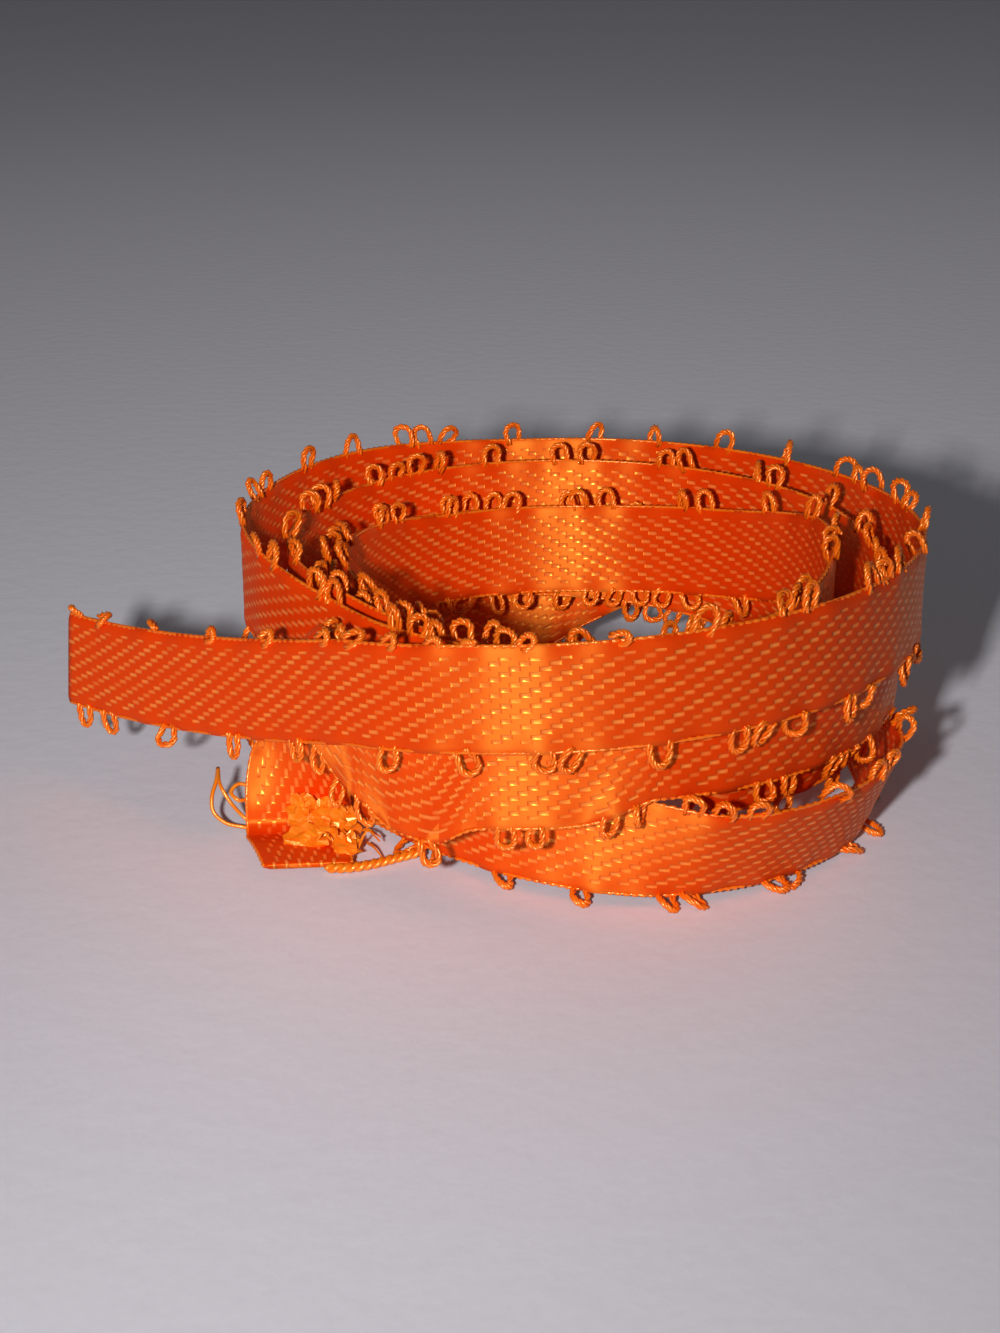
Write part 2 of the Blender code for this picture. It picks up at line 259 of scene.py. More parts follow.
# The outer strand, from the loose end inwards
OUTER_STRAND = [Section(*row) for row in (
    (-41, 23.4, 13.5, 0),
    (-14, 23.4, 15.0, 0),
    (30, 23.4, 16.2, 0),
    (60, 23.3, 16.4, 0),
    (90, 23.1, 15.9, 0),
    (135, 23.1, 15.5, 0),
    (186, 23.2, 15.4, 0),
    (231, 23.3, 16.2, 0),
    (268, 23.4, 15.8, 0),
    (281, 22.5, 15.3, 0),
    (295, 20.9, 14.5, 0),
    (308, 19.7, 13.7, 0),
    (322, 19.6, 13.4, 0),
    (340, 20.3, 13.6, 0),
    (360, 20.6, 13.9, 0),
    (371, 20.6, 12.3, 0),
    (385, 20.6, 9.3, 0),
    (424, 20.5, 9.2, 0),
    (437, 20.5, 11.6, 0),
    (447, 20.5, 12.9, 0),
    (480, 20.4, 14.2, 0),
    (540, 20.4, 14.4, 0),
    (630, 20.2, 14.6, 0),
    (655, 19.3, 14.3, 0),
    (668, 18.2, 13.6, 0),
    (682, 17.9, 13.2, 0),
    (700, 18.2, 12.9, 0),
    (720, 18.0, 12.8, 0),
    (765, 17.5, 13.6, 0),
    (810, 17.2, 15.0, 0),
    (866, 17.6, 12.2, 0),
    (900, 17.6, 11.5, 0),
    (931, 17.4, 11.7, 0),
    (960, 16.9, 12.8, 0),
    (990, 16.4, 13.3, 0),
    (1015, 15.8, 12.9, 0),
    (1028, 15.4, 12.5, 0),
    (1040, 15.1, 12.2, 0),
)]

# The inner strand, from its tail at the coil's front left to the hairpin
INNER_STRAND = [Section(*row) for row in (
    (318, 22.05, 9.3, 0),
    (325, 22.05, 7.9, 0),
    (333, 22.05, 7.6, 0),
    (341, 22.1, 9.1, 0),
    (360, 22.0, 10.0, 0),
    (366, 22.0, 10.9, 0),
    (371, 22.0, 11.5, 0),
    (405, 22.0, 11.5, 0),
    (432, 21.9, 11.5, 0),
    (445, 21.8, 11.4, 0),
    (457, 21.8, 10.2, 0),
    (480, 21.8, 9.1, 0),
    (525, 21.8, 9.2, 0),
    (536, 21.7, 7.4, 0),
    (546, 21.5, 5.2, 0),
    (560, 21.2, 4.3, 0),
    (600, 19.8, 4.2, 0),
    (640, 17.8, 4.2, 0),
    (675, 16.8, 4.2, 0),
    (693, 17.3, 4.2, 0),
    (703, 18.0, 4.2, 0),
    (712, 18.7, 4.2, 0),
    (720, 19.6, 4.2, 1),
    (727, 20.4, 4.15, 4),
    (733, 21.2, 4.0, 12),
    (740, 22.1, 3.85, 22),
    (750, 22.6, 3.75, 25),
    (768, 22.8, 3.75, 24),
    (783, 22.3, 3.8, 20),
    (792, 21.4, 3.9, 14),
    (800, 20.3, 4.1, 7),
    (811, 19.4, 4.8, 3),
    (820, 19.2, 5.9, 0),
    (840, 19.05, 7.9, 0),
    (870, 19.05, 9.8, 0),
    (900, 19.0, 10.6, 0),
    (940, 18.8, 11.6, 0),
    (965, 18.4, 12.1, 0),
    (990, 17.8, 12.5, 0),
    (1015, 17.2, 12.4, 0),
    (1028, 16.8, 12.3, 0),
    (1040, 16.5, 12.2, 0),
)]

# One cross line of the ribbon: its middle, the way to its upper edge, and its face's normal
Line = namedtuple("Line", "middle half normal")


def smooth_column(sections, column, turns):
    """Read one column of a strand's table on a smooth curve through its rows."""
    knots = np.array([row.turn_deg for row in sections], float)
    values = np.array([getattr(row, column) for row in sections], float)
    steps = np.diff(knots)
    rates = np.diff(values) / steps
    slopes = np.zeros(len(knots))
    slopes[0] = rates[0]
    slopes[-1] = rates[-1]
    for k in range(1, len(knots) - 1):
        if rates[k - 1] * rates[k] > 0:
            before = 2 * steps[k] + steps[k - 1]
            after = steps[k] + 2 * steps[k - 1]
            slopes[k] = (before + after) / (before / rates[k - 1] + after / rates[k])
    k = np.clip(np.searchsorted(knots, turns) - 1, 0, len(steps) - 1)
    u = (turns - knots[k]) / steps[k]
    start = values[k] * (1 + 2 * u) * (1 - u) ** 2 + slopes[k] * steps[k] * u * (1 - u) ** 2
    end = values[k + 1] * u * u * (3 - 2 * u) + slopes[k + 1] * steps[k] * u * u * (u - 1)
    return start + end


def coil_axes(turn_deg):
    """Return the outward way and the anticlockwise way at a turn angle."""
    angle = radians(turn_deg)
    return np.array([sin(angle), -cos(angle), 0.0]), np.array([cos(angle), sin(angle), 0.0])


def strand_points(sections, turns):
    """Return middles and half widths on a strand."""
    turns = np.atleast_1d(np.asarray(turns, float))
    radii = smooth_column(sections, "radius", turns)
    heights = smooth_column(sections, "height", turns)
    leans = np.radians(smooth_column(sections, "lean_deg", turns))
    points = []
    for turn, radius, height, lean in zip(turns, radii, heights, leans):
        outward = coil_axes(turn)[0]
        half = (UP * cos(lean) + outward * sin(lean)) * RIBBON_WIDTH / 2
        points.append((outward * radius + UP * height, half))
    return points


def strand_turns(sections):
    """Space the turn angles of a strand's stations evenly along its length."""
    fine = np.arange(sections[0].turn_deg, sections[-1].turn_deg + 0.5, 0.5)
    radii = smooth_column(sections, "radius", fine)
    lengths = np.concatenate([[0.0], np.cumsum(np.radians(0.5) * radii[1:])])
    count = int(round(lengths[-1] / STATION_STEP))
    return np.interp(np.linspace(0, lengths[-1], count + 1), lengths, fine)


def loose_end():
    """Run from the cut end to the first station of the outer strand."""
    start, half = strand_points(OUTER_STRAND, OUTER_STRAND[0].turn_deg)[0]
    onward = coil_axes(OUTER_STRAND[0].turn_deg)[1]
    count = int(round(LOOSE_LENGTH / STATION_STEP))
    points = []
    for k in range(count, 0, -1):
        share = k / count
        droop = LOOSE_DROOP * (1 - (1 - share) ** LOOSE_DROOP_CURVE)
        skew = LOOSE_END_SKEW * share ** 3
        middle = start - onward * LOOSE_LENGTH * share - UP * droop
        points.append((middle, half + onward * skew * RIBBON_WIDTH / 2))
    return points


def hairpin():
    """Turn from the end of the outer strand to the end of the inner one."""
    turn = OUTER_STRAND[-1].turn_deg
    inside, half = strand_points(OUTER_STRAND, turn)[0]
    outside, half = strand_points(INNER_STRAND, turn)[0]
    onward = coil_axes(turn)[1]
    centre = (inside + outside) / 2
    arm = (inside - outside) / 2
    reach = np.linalg.norm(arm)
    points = []
    for k in range(1, HAIRPIN_STEPS):
        angle = pi * k / HAIRPIN_STEPS
        points.append((centre + arm * cos(angle) + onward * reach * sin(angle), half))
    return points


def with_normals(points):
    """Turn middles and half widths into lines with their face normals."""
    middles = np.array([middle for middle, half in points])
    ways = np.gradient(middles, axis=0)
    lines = []
    for (middle, half), way in zip(points, ways):
        normal = np.cross(way, half)
        lines.append(Line(middle, half, normal / np.linalg.norm(normal)))
    return lines


def smooth_step(share):
    """Ease from 0 to 1."""
    share = min(max(share, 0.0), 1.0)
    return share * share * (3 - 2 * share)


def tail_lines():
    """Return the tail's lines: the run, the fold, the hanging stretch and the floor stretch."""
    turn = INNER_STRAND[0].turn_deg
    start, half = strand_points(INNER_STRAND, turn)[0]
    outward, onward = coil_axes(turn)
    ahead = -onward
    lines = []
    run_count = int(round(TAIL_RUN / STATION_STEP)) + 1
    for k in range(1, run_count + 1):
        share = k / run_count
        rise = smooth_step(share / TAIL_RISE_BY) * TAIL_RISE
        middle = start + ahead * TAIL_RUN * share + UP * rise
        lines.append(Line(middle, half - ahead * share * RIBBON_WIDTH / 2, -outward))
    lines += fold_lines(lines[-1], ahead, outward)
    lines += hang_lines(lines[-1], onward)
    lines += floor_lines(lines[-1])
    return lines


def fold_lines(first, ahead, outward):
    """Wrap the ribbon inwards round an axis at 45 degrees to its length, so that it turns down."""
    crease = (UP - ahead) / sqrt(2)
    across = (UP + ahead) / sqrt(2)
    lines = []
    for k in range(1, FOLD_STEPS + 1):
        angle = pi * k / FOLD_STEPS
        slide = -crease * FOLD_RADIUS * angle
        rise = across * FOLD_RADIUS * sin(angle) - outward * FOLD_RADIUS * (1 - cos(angle))
        normal = -across * sin(angle) - outward * cos(angle)
        lines.append(Line(first.middle + slide + rise, first.half, normal))
    return lines


def hang_lines(first, onward):
    """Lead the ribbon down from the fold, level its cross lines and turn it to the front."""
    start_deg = np.degrees(np.arctan2(onward[1], onward[0]))
    drop = first.middle[2] - (SOLID_THICKNESS / 2 + FLOOR_BEND_RADIUS)
    lines = []
    for k in range(1, HANG_STEPS + 1):
        share = k / HANG_STEPS
        level = max(0.0, 1 - share / HANG_LEVEL_BY)
        turned = smooth_step((share - HANG_TURN_FROM) / (1 - HANG_TURN_FROM))
        angle = radians(start_deg + HANG_TURN_DEG * turned)
        side = np.array([cos(angle), sin(angle), 0.0])
        swing = (side - onward) * HANG_SWING * RIBBON_WIDTH / 2
        middle = first.middle - UP * drop * share + swing
        half = (side + UP * level) * RIBBON_WIDTH / 2
        lines.append(Line(middle, half, np.cross(-UP, side)))
    return lines


def floor_lines(first):
    """Bend the ribbon onto the floor and lay its end flat."""
    side = first.half / np.linalg.norm(first.half)
    front = np.cross(side, UP)
    front = front if front[1] < 0 else -front
    lines = []
    for k in range(1, FLOOR_BEND_STEPS + 1):
        angle = pi / 2 * k / FLOOR_BEND_STEPS
        middle = first.middle + front * FLOOR_BEND_RADIUS * (1 - cos(angle))
        middle = middle - UP * FLOOR_BEND_RADIUS * sin(angle)
        way = front * sin(angle) - UP * cos(angle)
        lines.append(Line(middle, first.half, np.cross(way, side)))
    laid = lines[-1]
    for k in range(1, FLOOR_RUN_STEPS + 1):
        share = k / FLOOR_RUN_STEPS
        half_width = RIBBON_WIDTH / 2 + (FLOOR_END_HALF_WIDTH - RIBBON_WIDTH / 2) * share
        middle = laid.middle + front * FLOOR_RUN * share + side * FLOOR_END_SHIFT * share
        middle = middle + UP * FLOOR_RUN_ARCH * sin(pi * share)
        lines.append(Line(middle, side * half_width, laid.normal))
    return lines


def ribbon_lines():
    """Return every cross line of the ribbon, from the loose end to the tail's end."""
    points = loose_end()
    points += strand_points(OUTER_STRAND, strand_turns(OUTER_STRAND))
    points += hairpin()
    points += strand_points(INNER_STRAND, strand_turns(INNER_STRAND)[::-1])
    return with_normals(points) + tail_lines()


def turning_line():
    """Return the number of the line where the ribbon turns back in its hairpin."""
    return len(loose_end()) + len(strand_turns(OUTER_STRAND)) + HAIRPIN_STEPS // 2


def make_object(name, verts, faces, material, uvs=None, smooth=True):
    """Make one mesh object from points in millimetres about the coil's axis."""
    mesh = bpy.data.meshes.new(name)
    placed = (np.asarray(verts) + COIL_CENTRE) * MM
    mesh.from_pydata([tuple(point) for point in placed], [], faces)
    if uvs is not None:
        layer = mesh.uv_layers.new(name="weave")
        index = np.empty(len(mesh.loops), np.int32)
        mesh.loops.foreach_get("vertex_index", index)
        layer.data.foreach_set("uv", np.asarray(uvs, np.float32)[index].ravel())
    mesh.polygons.foreach_set("use_smooth", [smooth] * len(mesh.polygons))
    mesh.materials.append(material)
    mesh.update()
    thing = bpy.data.objects.new(name, mesh)
    bpy.context.scene.collection.objects.link(thing)
    return thing


def line_lengths(lines):
    """Return each line's distance along the ribbon from its loose end."""
    middles = np.array([line.middle for line in lines])
    steps = np.linalg.norm(np.diff(middles, axis=0), axis=1)
    return np.concatenate([[0.0], np.cumsum(steps)])


def build_cloth(lines, material):
    """Skin the lines into the thin woven body, with its place across and along as UVs."""
    lengths = line_lengths(lines)
    shares = np.linspace(-1, 1, POINTS_ACROSS)
    round_off = np.sqrt(np.clip(1 - np.abs(shares) ** EDGE_ROUNDING, EDGE_THINNEST, 1))
    ring = np.concatenate([shares, shares[::-1]])
    depth = np.concatenate([round_off, -round_off[::-1]]) * CLOTH_THICKNESS / 2
    verts = []
    uvs = []
    ways = np.gradient(np.array([line.middle for line in lines]), axis=0)
    ways /= np.linalg.norm(ways, axis=1)[:, None]
    turning = turning_line()
    for k, (line, length, way) in enumerate(zip(lines, lengths, ways)):
        forward = 1 if k < turning else -1
        wave = sin(length * RIPPLE_RATES[0]) + RIPPLE_SECOND * sin(length * RIPPLE_RATES[1] + 1.0)
        rippled = STILL_START < length < lengths[-1] - STILL_END
        offset = depth + EDGE_RIPPLE * ring ** 2 * wave if rippled else depth
        verts.append(line.middle + np.outer(ring, line.half) + np.outer(offset, line.normal))
        across = (ring + 1) * RIBBON_WIDTH / 2
        uvs.append(np.column_stack([across, forward * (length + ring * (line.half @ way))]))
    verts = np.concatenate(verts)
    uvs = np.concatenate(uvs)
    count = len(ring)
    faces = []
    for k in range(len(lines) - 1):
        here = k * count
        there = here + count
        for j in range(count):
            after = (j + 1) % count
            faces.append((here + j, here + after, there + after, there + j))
    faces.append(tuple(range(count))[::-1])
    faces.append(tuple((len(lines) - 1) * count + j for j in range(count)))
    return make_object("ribbon_cloth", verts, faces, material, uvs)


def tube(path, radii, sides, verts, faces):
    """Add a closed tube along a path to the lists."""
    path = np.asarray(path, float)
    ways = np.gradient(path, axis=0)
    ways /= np.linalg.norm(ways, axis=1)[:, None] + 1e-9
    guide = TUBE_GUIDE
    if abs(ways[0] @ guide) > TUBE_GUIDE_LIMIT:
        guide = TUBE_OTHER_GUIDE
    first = len(verts)
    for point, way, radius in zip(path, ways, radii):
        side = np.cross(way, guide)
        side /= np.linalg.norm(side)
        guide = np.cross(side, way)
        for j in range(sides):
            angle = 2 * pi * j / sides
            verts.append(point + radius * (side * cos(angle) + guide * sin(angle)))
    for k in range(len(path) - 1):
        here = first + k * sides
        for j in range(sides):
            after = (j + 1) % sides
            faces.append((here + j, here + after, here + sides + after, here + sides + j))
    faces.append(tuple(first + j for j in range(sides))[::-1])
    last = first + (len(path) - 1) * sides
    faces.append(tuple(last + j for j in range(sides)))


def line_at(lines, lengths, place):
    """Return the ribbon's line at a distance along it."""
    k = int(np.clip(np.searchsorted(lengths, place) - 1, 0, len(lines) - 2))
    share = np.clip((place - lengths[k]) / (lengths[k + 1] - lengths[k] + 1e-9), 0, 1)
    mixed = [a + (b - a) * share for a, b in zip(lines[k], lines[k + 1])]
    return Line(*mixed), k


def loop_is_clear(arrays, k, tip):
    """Say whether a loop's tip keeps clear of the ribbon's other turns."""
    middles, halves, normals = arrays
    gap = tip - middles
    reach = np.linalg.norm(halves, axis=1)
    ways = halves / reach[:, None]
    beyond = np.abs(np.sum(gap * ways, axis=1)) - reach
    off_face = np.abs(np.sum(gap * normals, axis=1))
    aside = np.abs(np.sum(gap * np.cross(ways, normals), axis=1))
    near = (beyond < LOOP_EDGE_ROOM) & (off_face < LOOP_FACE_ROOM) & (aside < LOOP_SIDE_ROOM)
    far = np.abs(np.arange(len(middles)) - k) > LOOP_OWN_LINES
    return not np.any(near & far)


def loop_axes(line, onward, side, curled, rng):
    """Return a loop's root on one edge, and the ways along the edge, to its tip and off its plane."""
    away = side * line.half / np.linalg.norm(line.half)
    edge = line.middle + side * line.half
    off = line.normal
    if side < 0 and edge[2] < FLOOR_LOOP_HEIGHT and abs(away[2]) > 0.5:
        outward = np.array([edge[0], edge[1], 0.0])
        outward /= np.linalg.norm(outward)
        sink = (edge[2] - FLOOR_LOOP_REST) / FLOOR_LOOP_REACH
        away = outward * sqrt(max(1 - sink * sink, FLOOR_LOOP_LEAST)) - UP * sink
        tilt = radians(rng.uniform(-FLOOR_LOOP_TILT_DEG, FLOOR_LOOP_TILT_DEG))
        return edge, onward, away * cos(tilt) + onward * sin(tilt), UP
    tilt = radians(rng.gauss(0, LOOP_TILT_DEG))
    lean = radians(rng.gauss(0, LOOP_LEAN_DEG))
    if curled:
        tilt = radians(rng.choice((-1, 1)) * rng.uniform(*CURLED_TILT_DEG))
        lean = radians(rng.uniform(-CURLED_LEAN_DEG, CURLED_LEAN_DEG))
    turn = radians(rng.gauss(0, LOOP_TURN_DEG[side]))
    away = away * cos(lean) + off * sin(lean)
    along = onward * cos(turn) + off * sin(turn)
    skewed = away * cos(tilt) + along * sin(tilt)
    return edge, along * cos(tilt) - away * sin(tilt), skewed, np.cross(along, away)


def add_loop(rng, axes, curled, verts, faces):
    """Add one loop of twisted plies that leaves the edge, turns and comes back to it."""
    edge, along, away, off = axes
    width = rng.uniform(*LOOP_WIDTH) * (CURLED_NARROWING if curled else 1.0)
    length = rng.uniform(*(CURLED_LENGTH if curled else LOOP_LENGTH))
    neck = rng.uniform(*LOOP_NECK)
    bow = rng.uniform(-LOOP_BOW, LOOP_BOW)
    twists = rng.uniform(*PLY_TWISTS)
    phase = rng.uniform(0, 2 * pi)
    for ply in range(LOOP_PLIES):
        path = []
        for t in np.linspace(0, 1, LOOP_STEPS):
            swell = neck + (1 - neck) * sin(pi * t) * LOOP_SWELL
            wind = phase + 2 * pi * (ply / LOOP_PLIES + twists * t)
            round_out = PLY_SPREAD * cos(wind)
            x = -(0.5 * width * swell + round_out) * cos(pi * t)
            y = length * sin(pi * t) ** LOOP_BLUNTNESS + round_out * sin(pi * t) - LOOP_ROOT_DEPTH
            z = bow * sin(2 * pi * t) + PLY_SPREAD * sin(wind)
            path.append(edge + along * x + away * y + off * z)
        path = np.array(path)
        path[:, 2] = np.maximum(path[:, 2], PLY_RADIUS + PLY_FLOOR_GAP)
        tube(path, [PLY_RADIUS] * LOOP_STEPS, LOOP_SIDES, verts, faces)


def loop_places(side, end, rng):
    """Return the loops' places along an edge: the loose end's own, then the rest by chance."""
    places = list(LOOSE_END_LOOPS[side])
    place = places[-1]
    while place < end:
        place += rng.uniform(*(LOOP_PAIR_PITCH if rng.random() < LOOP_PAIR_CHANCE else LOOP_PITCH))
        places.append(place)
    return places[:-1]


def build_loops(lines, material):
    """Build the thread loops of the upper and of the lower edge, as one piece each."""
    rng = random.Random(LOOP_SEED)
    lengths = line_lengths(lines)
    arrays = [np.array(column) for column in zip(*lines)]
    built = []
    for name, side in (("edge_loops_upper", 1), ("edge_loops_lower", -1)):
        verts = []
        faces = []
        for place in loop_places(side, lengths[-1] - LOOPLESS_END, rng):
            line, k = line_at(lines, lengths, place)
            onward = lines[k + 1].middle - lines[k].middle
            onward /= np.linalg.norm(onward)
            curled = side > 0 and place < CURLED_UNTIL
            axes = loop_axes(line, onward, side, curled, rng)
            if loop_is_clear(arrays, k, axes[0] + axes[2] * LOOP_TIP):
                add_loop(rng, axes, curled, verts, faces)
        built.append(make_object(name, verts, faces, material))
    return built


def build_edge_threads(lines, material):
    """Build the beaded thread that runs along each edge between its loops."""
    lengths = line_lengths(lines)
    verts = []
    faces = []
    count = int(lengths[-1] / EDGE_THREAD_STEP)
    places = np.linspace(EDGE_THREAD_END_GAP, lengths[-1] - EDGE_THREAD_END_GAP, count)
    for side in (1, -1):
        path = []
        radii = []
        for place in places:
            line = line_at(lines, lengths, place)[0]
            bead = abs(sin(pi * place / EDGE_BEAD_PITCH + side))
            edge = line.middle + side * line.half * (1 - EDGE_THREAD_INSET)
            point = edge + line.normal * EDGE_THREAD_SWAY * sin(2 * pi * place / EDGE_BEAD_PITCH)
            point[2] = max(point[2], EDGE_THREAD_RADIUS)
            path.append(point)
            radii.append(EDGE_THREAD_RADIUS * (EDGE_BEAD_NECK + EDGE_BEAD_SWELL * bead))
        tube(path, radii, EDGE_THREAD_SIDES, verts, faces)
    return make_object("edge_threads", verts, faces, material)


def floor_point(u, v, height):
    """Return the point at a height over the floor that the camera sees at a photo pixel."""
    pitch = radians(CAMERA_PITCH_DEG)
    forward = np.array([0.0, cos(pitch), -sin(pitch)])
    lift = np.array([0.0, sin(pitch), cos(pitch)])
    aside = np.array([u - PHOTO_WIDTH / 2, 0.0, 0.0])
    way = forward * FOCAL_PIXELS + aside + lift * (PHOTO_HEIGHT / 2 - v)
    return CAMERA_PLACE + way * (height - CAMERA_PLACE[2]) / way[2]


def smooth_path(points, count):
    """Return a smooth path of a given count through a few points."""
    points = np.asarray(points, float)
    spans = np.concatenate([[0.0], np.cumsum(np.linalg.norm(np.diff(points, axis=0), axis=1))])
    slopes = np.gradient(points, spans, axis=0)
    path = []
    for place in np.linspace(0, spans[-1], count):
        k = int(np.clip(np.searchsorted(spans, place) - 1, 0, len(points) - 2))
        step = spans[k + 1] - spans[k]
        u = (place - spans[k]) / step
        start = points[k] * (1 + 2 * u) * (1 - u) ** 2 + slopes[k] * step * u * (1 - u) ** 2
        end = points[k + 1] * u * u * (3 - 2 * u) + slopes[k + 1] * step * u * u * (u - 1)
        path.append(start + end)
    return np.array(path)


def add_lump(rng, centre, reaches, verts, faces):
    """Add one crumpled closed lump about a centre."""
    first = len(verts)
    for i in range(LUMP_RINGS + 1):
        tall = pi * i / LUMP_RINGS
        for j in range(LUMP_SIDES):
            turn = 2 * pi * j / LUMP_SIDES
            way = np.array([sin(tall) * cos(turn), sin(tall) * sin(turn), cos(tall)])
            swell = rng.uniform(*LUMP_CRUMPLE) if 0 < i < LUMP_RINGS else LUMP_POLE
            point = centre + way * reaches * swell
            point[2] = max(point[2], FRAY_LOWEST)
            verts.append(point)
    for i in range(LUMP_RINGS):
        here = first + i * LUMP_SIDES
        there = here + LUMP_SIDES
        for j in range(LUMP_SIDES):
            after = (j + 1) % LUMP_SIDES
            faces.append((here + j, there + j, there + after, here + after))
    last = first + LUMP_RINGS * LUMP_SIDES
    faces.append(tuple(first + j for j in range(LUMP_SIDES)))
    faces.append(tuple(last + j for j in range(LUMP_SIDES))[::-1])


def build_fray(lines, material):
    """Build the torn, crumpled end of the tail, with its loose filaments."""
    rng = random.Random(FRAY_SEED)
    verts = []
    faces = []
    for u, v, height, reaches in TAIL_LUMPS:
        add_lump(rng, floor_point(u, v, height), np.array(reaches), verts, faces)
    tail = lines[-1]
    front = tail.middle - lines[-4].middle
    front /= np.linalg.norm(front)
    side = tail.half / np.linalg.norm(tail.half)
    for _ in range(TAIL_HAIRS):
        share = rng.uniform(*HAIR_PLACE)
        back = rng.uniform(*HAIR_BACK)
        root = tail.middle + side * (share * HAIR_SPREAD + HAIR_SHIFT) - front * back
        root[2] = rng.uniform(*HAIR_HEIGHT)
        heading = side * rng.uniform(*HAIR_ASIDE) + front * rng.uniform(*HAIR_AHEAD)
        heading /= np.linalg.norm(heading)
        length = rng.uniform(*HAIR_LENGTH)
        lift = rng.uniform(*HAIR_LIFT)
        bend = np.cross(heading, UP) * rng.uniform(-HAIR_BEND, HAIR_BEND)
        middle = root + heading * length * 0.5 + UP * lift + bend * HAIR_MIDDLE_BEND
        end = root + heading * length + UP * lift * rng.uniform(*HAIR_END_LIFT) + bend
        path = smooth_path([root, middle, end], HAIR_STEPS)
        path[:, 2] = np.maximum(path[:, 2], FRAY_LOWEST)
        tube(path, np.linspace(*HAIR_RADII, HAIR_STEPS), HAIR_SIDES, verts, faces)
    return make_object("tail_fray", verts, faces, material, smooth=False)


def build_tail_cord(material):
    """Build the short twisted cord that sticks out of the tail along the floor."""
    path = smooth_path([floor_point(u, v, CORD_HEIGHT) for u, v in CORD_PLACES], CORD_STEPS)
    spans = line_lengths([Line(point, None, None) for point in path])
    verts = []
    faces = []
    ways = np.gradient(path, axis=0)
    ways /= np.linalg.norm(ways, axis=1)[:, None]
    for ply in (0.0, pi):
        twisted = []
        for point, way, span in zip(path, ways, spans):
            angle = 2 * pi * span / CORD_LAY + ply
            level = np.cross(way, UP)
            twisted.append(point + (level * cos(angle) + UP * sin(angle)) * CORD_SPREAD)
        tube(twisted, [CORD_PLY_RADIUS] * len(path), CORD_SIDES, verts, faces)
    return make_object("tail_cord", verts, faces, material)


def build_stray_threads(material):
    """Build the thin threads that hang off the tail's left edge."""
    verts = []
    faces = []
    for places in STRAY_PLACES:
        path = smooth_path([floor_point(*place) for place in places], STRAY_STEPS)
        tube(path, [STRAY_RADIUS] * STRAY_STEPS, STRAY_SIDES, verts, faces)
    return make_object("stray_threads", verts, faces, material)


class Nodes:
    """A small helper that builds a material's node tree."""

    def __init__(self, name):
        self.material = bpy.data.materials.new(name)
        self.material.use_nodes = True
        self.tree = self.material.node_tree
        self.shader = self.tree.nodes["Principled BSDF"]

    def link(self, value, socket):
        """Feed a socket with another node's output or with a plain value."""
        if isinstance(value, bpy.types.NodeSocket):
            self.tree.links.new(value, socket)
        else:
            socket.default_value = value

    def math(self, operation, first, second=0.0):
        """Add a math node and return its output."""
        node = self.tree.nodes.new("ShaderNodeMath")
        node.operation = operation
        self.link(first, node.inputs[0])
        self.link(second, node.inputs[1])
        return node.outputs[0]

    def mix_colour(self, share, first, second):
        """Mix two colours and return the output."""
        node = self.tree.nodes.new("ShaderNodeMix")
        node.data_type = "RGBA"
        self.link(share, node.inputs["Factor"])
        self.link(first, node.inputs[6])
        self.link(second, node.inputs[7])
        return node.outputs[2]

    def noise(self, vector, scale, detail=2.0):
        """Add a noise texture and return its value."""
        node = self.tree.nodes.new("ShaderNodeTexNoise")
        self.link(vector, node.inputs["Vector"])
        node.inputs["Scale"].default_value = scale
        node.inputs["Detail"].default_value = detail
        return node.outputs[0]

    def chance(self, first, second):
        """Return a random value for each pair of whole numbers."""
        noise = self.tree.nodes.new("ShaderNodeTexWhiteNoise")
        noise.noise_dimensions = "2D"
        pair = self.tree.nodes.new("ShaderNodeCombineXYZ")
        self.link(first, pair.inputs[0])
        self.link(second, pair.inputs[1])
        self.link(pair.outputs[0], noise.inputs["Vector"])
        return noise.outputs["Value"]

    def within(self, place):
        """Return 1 - place squared, and 0 past the ends."""
        fall = self.math("SUBTRACT", 1.0, self.math("MULTIPLY", place, place))
        return self.math("MAXIMUM", fall, 0.0)

    def bump(self, height, strength, distance):
        """Drive the shader's normal with a height."""
        node = self.tree.nodes.new("ShaderNodeBump")
        self.link(height, node.inputs["Height"])
        node.inputs["Strength"].default_value = strength
        node.inputs["Distance"].default_value = distance
        self.link(node.outputs["Normal"], self.shader.inputs["Normal"])

    def set(self, **values):
        """Set the shader's own sockets by name, with spaces written as underscores."""
        for name, value in values.items():
            self.link(value, self.shader.inputs[name.replace("_", " ")])


def weave_place(nodes):
    """Return the places across and along the ribbon and in its float, and the float's chance value."""
    uv = nodes.tree.nodes.new("ShaderNodeUVMap")
    uv.uv_map = "weave"
    split = nodes.tree.nodes.new("ShaderNodeSeparateXYZ")
    nodes.link(uv.outputs[0], split.inputs[0])
    across, along = split.outputs[0], split.outputs[1]
    rows = nodes.math("DIVIDE", across, ROW_PITCH)
    row = nodes.math("FLOOR", rows)
    shift = nodes.math("MULTIPLY", row, ROW_SHIFT)
    floats = nodes.math("SUBTRACT", nodes.math("DIVIDE", along, FLOAT_PITCH), shift)
    cell = nodes.math("FLOOR", floats)
    chance = nodes.chance(row, cell)
    from_row = nodes.math("SUBTRACT", nodes.math("FRACT", rows), 0.5)
    from_cell = nodes.math("SUBTRACT", nodes.math("FRACT", floats), 0.5)
    aside = nodes.math("MULTIPLY", from_row, 2 * ROW_PITCH / FLOAT_WIDTH)
    ahead = nodes.math("MULTIPLY", from_cell, 2 * FLOAT_PITCH / FLOAT_LENGTH)
    return across, along, aside, ahead, chance


